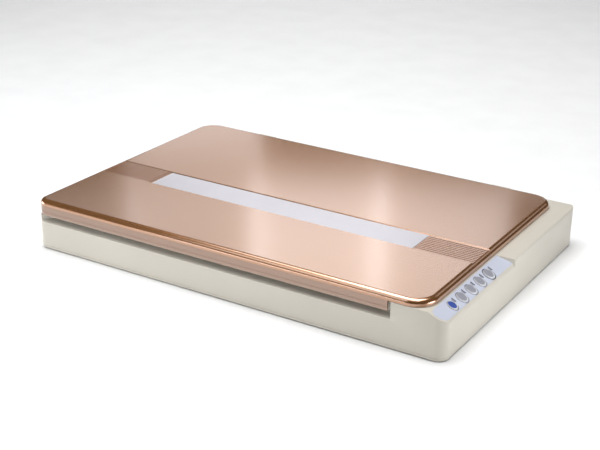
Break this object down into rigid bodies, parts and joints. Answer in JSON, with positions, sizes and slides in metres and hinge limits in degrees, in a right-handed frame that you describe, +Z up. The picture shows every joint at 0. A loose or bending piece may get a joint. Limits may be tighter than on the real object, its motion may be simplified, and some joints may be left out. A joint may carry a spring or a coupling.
{
  "type": "flatbed document scanner",
  "caption": "Slim large-format flatbed scanner: low base with glass platen, hinged lift-off-height lid, belt-driven sensor carriage and a sloping panel with push buttons.",
  "frame": {"origin": "on the table under the middle of the base, lid closed", "axes": "+X to the control panel side, front is -Y, +Z up"},
  "size_m": [0.589, 0.406, 0.068],
  "materials": {
    "case": "fine satin moulded plastic, warm off-white",
    "lid_paint": "glossy champagne metallic lacquer",
    "inlay": "brushed satin",
    "platen": "clear float glass",
    "white_plastic": "smooth",
    "foam": "white foam with a smooth film face",
    "label": "satin translucent film",
    "dark_plastic": "black moulded plastic",
    "rubber": "matt",
    "steel": "zinc plated",
    "rod_steel": "ground and polished",
    "brass": "machined",
    "board": "green solder mask",
    "cable": "flat flexible cable",
    "lens": "rod lens array",
    "light": "clear light guide",
    "silver_button": "silver paint",
    "blue_button": "blue gloss"
  },
  "bodies": {
    "base": {"bottom_case": "case", "upper_case": "case", "platen_glass": "platen", "calibration_strip": "white_plastic", "ruler_strips": "white_plastic", "panel_label": "label", "guide_rod": "rod_steel", "rod_clips": "dark_plastic", "slide_rails": "steel", "motor_bracket": "steel", "stepper_motor": "steel", "gear_pin": "steel", "idler_bracket": "dark_plastic", "idler_pin": "steel", "tension_spring": "steel", "drive_belt": "rubber", "main_board": "board", "board_parts": "dark_plastic", "board_screws": "steel", "usb_socket": "steel", "power_jack": "dark_plastic", "flat_cable": "cable", "cable_clip": "dark_plastic", "button_board": "board", "tact_switches": "dark_plastic", "rubber_feet": "rubber", "case_screws": "steel"},
    "hinge_posts": {"left_hinge_post": "case", "right_hinge_post": "case", "hinge_pins": "steel"},
    "lid": {"lid_cover": "lid_paint", "lid_inner_panel": "white_plastic", "document_mat": "foam", "inlay_strip": "inlay", "left_hinge_arm": "case", "right_hinge_arm": "case", "lid_screws": "steel", "lid_bumpers": "rubber"},
    "carriage": {"carriage_frame": "dark_plastic", "sensor_housing": "dark_plastic", "lens_array": "lens", "light_bar": "light", "sensor_board": "board", "sensor_window": "platen", "glide_pads": "white_plastic", "sensor_springs": "steel", "rod_bushes": "brass", "belt_clamp": "dark_plastic"},
    "motor_rotor": {"motor_shaft": "steel", "motor_pinion": "brass"},
    "drive_wheel": {"drive_gear": "white_plastic"},
    "idler_wheel": {"idler_pulley": "white_plastic"},
    "start_button_body": {"start_button": "blue_button"},
    "scan_button_body": {"scan_button": "silver_button"},
    "copy_button_body": {"copy_button": "silver_button"},
    "mail_button_body": {"mail_button": "silver_button"},
    "file_button_body": {"file_button": "silver_button"},
    "lock_body": {"lock_slider": "dark_plastic"}
  },
  "joints": [
    {"name": "hinge_lift", "type": "slide", "parent": "base", "child": "hinge_posts", "axis": [0, 0, 1], "range_m": [0, 0.02]},
    {"name": "lid_hinge", "type": "hinge", "parent": "hinge_posts", "child": "lid", "pos_m": [0, 0.189, 0.061], "axis": [-1, 0, 0], "range_deg": [0, 100]},
    {"name": "carriage_slide", "type": "slide", "parent": "base", "child": "carriage", "axis": [-1, 0, 0], "range_m": [0, 0.446], "deforming": ["flat_cable"]},
    {"name": "drive_wheel_spin", "type": "hinge", "parent": "base", "child": "drive_wheel", "pos_m": [0.248, -0.014, 0.018], "axis": [0, 0, 1], "range_deg": [-3765, 10]},
    {"name": "motor_spin", "type": "hinge", "parent": "base", "child": "motor_rotor", "pos_m": [0.256, -0.03406, 0.02], "axis": [0, 0, 1], "range_deg": [-10, 11290]},
    {"name": "idler_spin", "type": "hinge", "parent": "base", "child": "idler_wheel", "pos_m": [-0.252, -0.014, 0.022], "axis": [0, 0, 1], "range_deg": [-3765, 10]},
    {"name": "lock_slide", "type": "slide", "parent": "base", "child": "lock_body", "axis": [0, 1, 0], "range_m": [0, 0.006]},
    {"name": "start_press", "type": "slide", "parent": "base", "child": "start_button_body", "axis": [-0.4067, 0, -0.9135], "range_m": [0, 0.0008], "stiffness_N_per_m": 500, "springref_m": -0.0006},
    {"name": "scan_press", "type": "slide", "parent": "base", "child": "scan_button_body", "axis": [-0.4067, 0, -0.9135], "range_m": [0, 0.0008], "stiffness_N_per_m": 500, "springref_m": -0.0006},
    {"name": "copy_press", "type": "slide", "parent": "base", "child": "copy_button_body", "axis": [-0.4067, 0, -0.9135], "range_m": [0, 0.0008], "stiffness_N_per_m": 500, "springref_m": -0.0006},
    {"name": "mail_press", "type": "slide", "parent": "base", "child": "mail_button_body", "axis": [-0.4067, 0, -0.9135], "range_m": [0, 0.0008], "stiffness_N_per_m": 500, "springref_m": -0.0006},
    {"name": "file_press", "type": "slide", "parent": "base", "child": "file_button_body", "axis": [-0.4067, 0, -0.9135], "range_m": [0, 0.0008], "stiffness_N_per_m": 500, "springref_m": -0.0006}
  ],
  "couplings": [
    {"joint": "drive_wheel_spin", "follows": "carriage_slide", "rad_per_m": -147.06},
    {"joint": "motor_spin", "follows": "carriage_slide", "rad_per_m": 441.18},
    {"joint": "idler_spin", "follows": "carriage_slide", "rad_per_m": -147.06}
  ]
}
